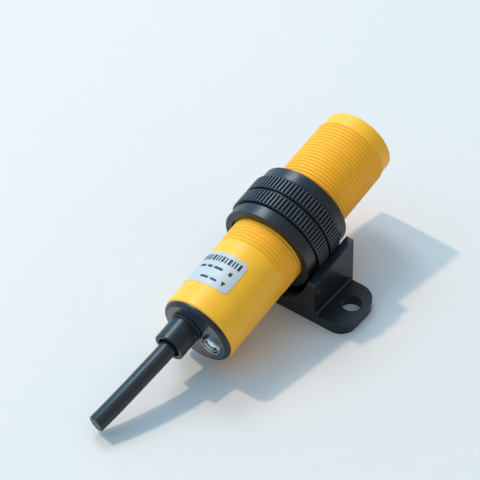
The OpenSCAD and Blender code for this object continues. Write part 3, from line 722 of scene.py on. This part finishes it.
class SENSOR_OT_sleeve(bpy.types.Operator):
    """Make the sleeve that holds the cable"""
    bl_idname = "sensor.sleeve"
    bl_label = "Cable sleeve"

    # Roundings of the sleeve's own edges and of the ring at its root
    EDGE_ROUND, ROOT_ROUND = 0.3 * MM, 0.48 * MM

    def execute(self, context):
        s = context.scene.sensor_rear
        stem_end = CAP_FLOOR_Z + s.flange_t
        root_z = CAP_FACE_Z - s.root_t
        bm = lathe([
            (s.cable_r, CABLE_EXIT_Z), (s.mouth_r, CABLE_EXIT_Z), (s.mouth_r, SLEEVE_END_Z),
            (s.sleeve_r, SLEEVE_END_Z), (s.sleeve_r, root_z), (s.root_r, root_z),
            (s.root_r, CAP_FACE_Z), (s.stem_r, CAP_FACE_Z), (s.stem_r, CAP_FLOOR_Z),
            (s.flange_r, CAP_FLOOR_Z), (s.flange_r, stem_end), (s.cable_r, stem_end)], steps=72)
        round_edges(bm, self.EDGE_ROUND,
                    wanted=lambda e: all(v.co.z < root_z - WELD for v in e.verts))
        round_edges(bm, self.ROOT_ROUND, segments=5, min_turn=60,
                    wanted=lambda e: all(root_z - WELD < v.co.z < CAP_FACE_Z - WELD
                                         and v.co.xy.length > s.sleeve_r + WELD for v in e.verts))
        finish_piece("cable_sleeve", bm, "sensor", "black_rubber", ["strain_relief"],
                     on_cap(s.cable_turn, s.cable_offset), weighted=True)
        return {"FINISHED"}


class SENSOR_OT_cable(bpy.types.Operator):
    """Make the short free cable that stands out of the sleeve"""
    bl_idname = "sensor.cable"
    bl_label = "Free cable"

    # Route from the exit in millimetres, in the barrel's own axes: down, sideways and along
    ROUTE = ((0, 0, 0), (0, 0, -2), (0.15, 0.2, -7), (0.7, 0.85, -14), (1.6, 1.75, -22), (2.8, 3, -31),
             (4.4, 4.6, -39.25))
    # Rounding of the cut end's rim
    CUT_ROUND = 0.35 * MM

    def execute(self, context):
        s = context.scene.sensor_rear
        start = on_cap(s.cable_turn, s.cable_offset) @ Vector((0, 0, CABLE_EXIT_Z))
        path = [start + (DOWN * down + SIDE * side + HEADING * along) * MM
                for down, side, along in self.ROUTE]
        bm = bmesh.new()
        ring = bmesh.ops.create_circle(bm, segments=48, radius=s.cable_r, cap_ends=False)["verts"]
        edges = bm.edges[:]
        here = Matrix.Identity(4)
        for before, point, after in zip(path[:1] + path[:-1], path, path[1:] + path[-1:]):
            facing = (before - after).to_track_quat("Z", "Y").to_matrix().to_4x4()
            there = Matrix.Translation(point) @ facing
            if point != path[0]:
                ring, edges = extrude_loop(bm, edges)
            bmesh.ops.transform(bm, matrix=there @ here.inverted(), verts=ring)
            here = there
        run_out = (path[-1] - path[-2]).normalized()
        level = run_out.cross(Vector((0, 0, 1)))
        bmesh.ops.rotate(bm, verts=ring, cent=path[-1], matrix=Matrix.Rotation(s.cut_slant, 3, level))
        rims = [e for e in bm.edges if e.is_boundary]
        for face in bmesh.ops.holes_fill(bm, edges=rims, sides=0)["faces"]:
            face.material_index = 1
        bmesh.ops.recalc_face_normals(bm, faces=bm.faces)
        round_off(bm, rims, self.CUT_ROUND, segments=3, material=0)
        cable = finish_piece("free_cable", bm, "sensor", "cable_jacket", ["cable"], weighted=True)
        cable.data.materials.append(bpy.data.materials["cable_cut"])
        run = sum((b - a).length for a, b in zip(path, path[1:]))
        [tuple(p) for p in path]
        return {"FINISHED"}


class SENSOR_OT_indicator(bpy.types.Operator):
    """Make the indicator: plated double ring and domed lens"""
    bl_idname = "sensor.indicator"
    bl_label = "Indicator"

    # Rounding of the ring's edges, but for those that lie nearer to the cap's face than the second value
    EDGE_ROUND, FACE_ZONE = 0.17 * MM, 0.1 * MM
    # The floor of the valley between the walls lies this near to its middle, in walls. That floor is painted matt
    # black: painted shade in the plated ring's recess
    VALLEY_ZONE = 0.25
    # Radius of the lens's dome in radii of the lens, and the steps of its arc
    DOME, DOME_STEPS = 2, 8

    def execute(self, context):
        s = context.scene.sensor_rear
        place = on_cap(s.indicator_turn, -s.indicator_offset)
        base = CAP_FACE_Z - s.ring_wall
        bm = lathe([
            (s.step_r - s.ring_wall, CAP_FACE_Z), (s.step_r - s.ring_wall, CAP_FACE_Z - s.step_t),
            (s.step_r, CAP_FACE_Z - s.step_t), (s.step_r, base), (s.bezel_r - s.ring_wall, base),
            (s.bezel_r - s.ring_wall, CAP_FACE_Z - s.bezel_t), (s.bezel_r, CAP_FACE_Z - s.bezel_t),
            (s.bezel_r, CAP_FACE_Z)], steps=64)
        valley = (s.step_r + s.bezel_r - s.ring_wall) / 2
        # The valley's floor gets matt black instead of the plating: painted shade
        for face in bm.faces:
            if abs(face.calc_center_median().xy.length - valley) < self.VALLEY_ZONE * s.ring_wall:
                face.material_index = 1
        round_edges(bm, self.EDGE_ROUND,
                    wanted=lambda e: all(v.co.z < CAP_FACE_Z - self.FACE_ZONE for v in e.verts))
        ring = finish_piece("plated_ring", bm, "sensor", "nickel_plate", ["indicator_bezel"], place)
        ring.data.materials.append(bpy.data.materials["matt_groove"])

        dome_r = self.DOME * s.lens_r
        top = CAP_FACE_Z - s.step_t / 2
        step = math.asin(s.lens_r / dome_r) / self.DOME_STEPS
        arc = [(dome_r * math.sin(step * k), top + dome_r * (1 - math.cos(step * k)))
               for k in range(self.DOME_STEPS + 1)]
        bm = lathe(arc + [(s.lens_r, CAP_FLOOR_Z), (0, CAP_FLOOR_Z)], steps=48, closed=False)
        finish_piece("domed_lens", bm, "sensor", "clear_lens", ["indicator_lens"], place)
        return {"FINISHED"}


class SENSOR_OT_label(bpy.types.Operator):
    """Make the foil label and its printed marks, bent round the rear body"""
    bl_idname = "sensor.label"
    bl_label = "Label"

    # Angle between two slices of the bend
    SLICE = math.radians(4)
    # Share of a mark's thickness that lies in the foil
    SUNK = 0.25
    # Rows of plain marks in millimetres: distance from the front edge, height, and (shape, distance
    # from the first edge, width) of each mark
    ROWS = (
        (1.5, 2.7, tuple(("bar", first, width) for first, width in (
            (1.9, 1.0), (3.6, 0.6), (4.8, 0.6), (6.0, 1.2), (7.9, 0.6), (9.1, 1.0), (10.7, 0.6),
            (11.9, 0.6), (13.1, 1.2), (15.0, 0.6), (16.2, 1.0), (17.8, 0.6), (19.0, 1.2)))),
        (6.3, 1.6, (("bar", 2.9, 1.3),)),
        (6.5, 1.1, (("bar", 7.0, 3.6), ("bar", 11.6, 2.2), ("bar", 14.8, 3.4))),
        (11.0, 2.0, (("wedge", 2.6, 1.8),)),
        (11.5, 1.0, (("bar", 6.2, 2.6), ("bar", 9.8, 3.6))),
    )

    def bend(self, bm, s, radius, height):
        """Bends a flat shape whose X runs back from the front edge, and Y round from the first edge."""
        front_z = REAR_Z + s.inset + s.width
        for v in bm.verts:
            turn = s.first - v.co.y / radius
            r = radius + height + v.co.z
            v.co = (r * math.cos(turn), r * math.sin(turn), front_z - v.co.x)

    def solid(self, bm, s, thickness):
        """Slices flat faces across the bend and gives them a thickness."""
        step = self.SLICE * bpy.context.scene.sensor_barrel.body_r
        for i in range(1, int(s.wrap / self.SLICE)):
            bmesh.ops.bisect_plane(bm, geom=everything(bm), dist=WELD / 10, plane_co=(0, i * step, 0),
                                   plane_no=(0, 1, 0))
        made = bmesh.ops.extrude_face_region(bm, geom=bm.faces[:])["geom"]
        bmesh.ops.translate(bm, vec=(0, 0, thickness),
                            verts=[g for g in made if isinstance(g, bmesh.types.BMVert)])
        bmesh.ops.recalc_face_normals(bm, faces=bm.faces)

    def mark(self, bm, shape, centre, width, height):
        """Adds one flat printed mark."""
        x, y = height / 2, width / 2
        corners = {"bar": ((-x, -y), (x, -y), (x, y), (-x, y)),
                   "wedge": ((-x, -y), (x, 0), (-x, y))}[shape]
        bm.faces.new([bm.verts.new(centre + Vector((*corner, 0))) for corner in corners])

    def execute(self, context):
        s = context.scene.sensor_label
        radius = context.scene.sensor_barrel.body_r
        bm = bmesh.new()
        around = s.wrap * radius
        corners = [bm.verts.new((x, y, 0)) for x, y in
                   ((0, 0), (s.width, 0), (s.width, around), (0, around))]
        bm.faces.new(corners)
        bmesh.ops.bevel(bm, geom=corners, offset=s.corner_r, offset_type="OFFSET", segments=8,
                        profile=0.5, affect="VERTICES", material=-1)
        self.solid(bm, s, s.thickness)
        self.bend(bm, s, radius, 0)
        finish_piece("foil_label", bm, "sensor", "label_foil", ["rating_label"], ALONG_BARREL)

        bm = bmesh.new()
        for front, height, marks in self.ROWS:
            for shape, first, width in marks:
                centre = Vector((front + height / 2, first + width / 2, 0)) * MM
                self.mark(bm, shape, centre, width * MM, height * MM)
        self.solid(bm, s, s.print_t)
        self.bend(bm, s, radius, s.thickness - self.SUNK * s.print_t)
        finish_piece("label_print", bm, "sensor", "label_ink", place=ALONG_BARREL)
        return {"FINISHED"}


class SENSOR_OT_stage(bpy.types.Operator):
    """Make the floor, the lights and the camera"""
    bl_idname = "sensor.stage"
    bl_label = "Stage"

    # The floor lies a hair under the foot, so that the two don't flicker
    FLOOR_SIZE, FLOOR_DROP = 6.0, 0.02 * MM
    # Width of the camera's sensor in millimetres, and the nearest and farthest distance that it sees
    SENSOR_WIDTH = 36.0
    NEAREST, FARTHEST = 0.01, 20.0
    # Name, place, size, colour, share of the key light's power, whether matt surfaces get its light,
    # and whether glossy ones mirror it
    LIGHTS = (
        ("Key light", (-0.15, 1.48, 1.90), 0.10, (1.0, 0.74, 0.50), 1.0, True, False),
        ("Streak light", (0.60, 1.08, 1.56), 0.60, (0.92, 0.97, 1.0), 0.34, True, True),
        ("Cable streak light", (0.02, 0.92, 1.78), 0.50, (0.92, 0.97, 1.0), 0.24, False, True),
    )
    # Direction from which the surroundings are brightest
    SKY_AXIS = (0.0, 0.9, 0.436)
    # Light of the surroundings, from the far side of that direction to it: share, colour
    SKY = ((0.0, (0.50, 0.42, 0.35)), (0.5, (0.50, 0.56, 0.60)), (0.72, (0.49, 0.84, 1.12)),
           (0.95, (0.59, 1.18, 1.68)))

    def floor(self, context):
        bm = bmesh.new()
        bmesh.ops.create_grid(bm, x_segments=1, y_segments=1, size=self.FLOOR_SIZE / 2,
                              matrix=Matrix.Translation((0, 0, -self.FLOOR_DROP)))
        mesh = bpy.data.meshes.new("floor")
        bm.to_mesh(mesh)
        bm.free()
        piece = bpy.data.objects.new("floor", mesh)
        context.scene.collection.objects.link(piece)
        mesh.materials.append(bpy.data.materials["stage_floor"])

    def lights(self, context, s):
        for name, place, size, tint, share, lighting, mirrored in self.LIGHTS:
            data = bpy.data.lights.new(name, "AREA")
            data.shape, data.size = "SQUARE", size
            data.energy, data.color = s.key_power * share, tint
            lamp = bpy.data.objects.new(name, data)
            lamp.location = place
            lamp.rotation_euler = (-Vector(place)).to_track_quat("-Z", "Y").to_euler()
            lamp.visible_diffuse, lamp.visible_glossy = lighting, mirrored
            context.scene.collection.objects.link(lamp)

    def world(self, context, s):
        world = bpy.data.worlds.new("Studio")
        context.scene.world = world
        world.use_nodes = True
        tree = world.node_tree
        background = tree.nodes["Background"]
        coords = tree.nodes.new("ShaderNodeTexCoord")
        along = tree.nodes.new("ShaderNodeVectorMath")
        along.operation = "DOT_PRODUCT"
        along.inputs[1].default_value = Vector(self.SKY_AXIS).normalized()
        share = tree.nodes.new("ShaderNodeMapRange")
        share.inputs["From Min"].default_value = -1.0
        ramp = tree.nodes.new("ShaderNodeValToRGB")
        tree.links.new(coords.outputs["Generated"], along.inputs[0])
        tree.links.new(along.outputs["Value"], share.inputs["Value"])
        tree.links.new(share.outputs["Result"], ramp.inputs["Fac"])
        tree.links.new(ramp.outputs["Color"], background.inputs["Color"])
        elements = ramp.color_ramp.elements
        elements[0].position, elements[1].position = self.SKY[0][0], self.SKY[-1][0]
        for height, _ in self.SKY[1:-1]:
            elements.new(height)
        for element, (_, tint) in zip(elements, self.SKY):
            element.color = (*tint, 1)
        background.inputs["Strength"].default_value = s.fill

    def camera(self, context, s):
        data = bpy.data.cameras.new("Camera")
        data.lens, data.sensor_width = s.lens_mm, self.SENSOR_WIDTH
        data.clip_start, data.clip_end = self.NEAREST, self.FARTHEST
        camera = bpy.data.objects.new("Camera", data)
        camera.location = s.camera_place
        turn = Vector(s.camera_aim).to_track_quat("-Z", "Y").to_matrix()
        camera.rotation_euler = (turn @ Matrix.Rotation(-s.camera_roll, 3, "Z")).to_euler()
        context.scene.collection.objects.link(camera)
        context.scene.camera = camera

    def execute(self, context):
        s = context.scene.sensor_stage
        self.camera(context, s)
        self.floor(context)
        self.lights(context, s)
        self.world(context, s)
        context.scene.view_settings.view_transform = "Standard"
        return {"FINISHED"}


class SENSOR_PT_panel(bpy.types.Panel):
    """Lists the makers of the sensor's pieces"""
    bl_label = "Ultrasonic sensor"
    bl_idname = "SENSOR_PT_panel"
    bl_space_type = "VIEW_3D"
    bl_region_type = "UI"
    bl_category = "Sensor"

    def draw(self, context):
        for maker in MAKERS:
            self.layout.operator(maker.bl_idname)


GROUPS = {
    "sensor_barrel": BarrelSizes, "sensor_nuts": NutSizes, "sensor_rear": RearSizes,
    "sensor_label": LabelSizes, "sensor_bracket": BracketSizes, "sensor_colours": FinishColours,
    "sensor_stage": StageSettings,
}
MAKERS = (
    SENSOR_OT_finishes, SENSOR_OT_stage, SENSOR_OT_cable, SENSOR_OT_sleeve, SENSOR_OT_cap,
    SENSOR_OT_indicator, SENSOR_OT_barrel, SENSOR_OT_label, SENSOR_OT_nuts, SENSOR_OT_bracket,
)


def register():
    for kind in (*GROUPS.values(), *MAKERS, SENSOR_PT_panel):
        bpy.utils.register_class(kind)
    for name, kind in GROUPS.items():
        setattr(bpy.types.Scene, name, PointerProperty(type=kind))


def unregister():
    for name in GROUPS:
        delattr(bpy.types.Scene, name)
    for kind in reversed((*GROUPS.values(), *MAKERS, SENSOR_PT_panel)):
        bpy.utils.unregister_class(kind)


def main():
    register()
    for maker in MAKERS:
        group, name = maker.bl_idname.split(".")
        getattr(getattr(bpy.ops, group), name)()


if __name__ == "__main__":
    main()
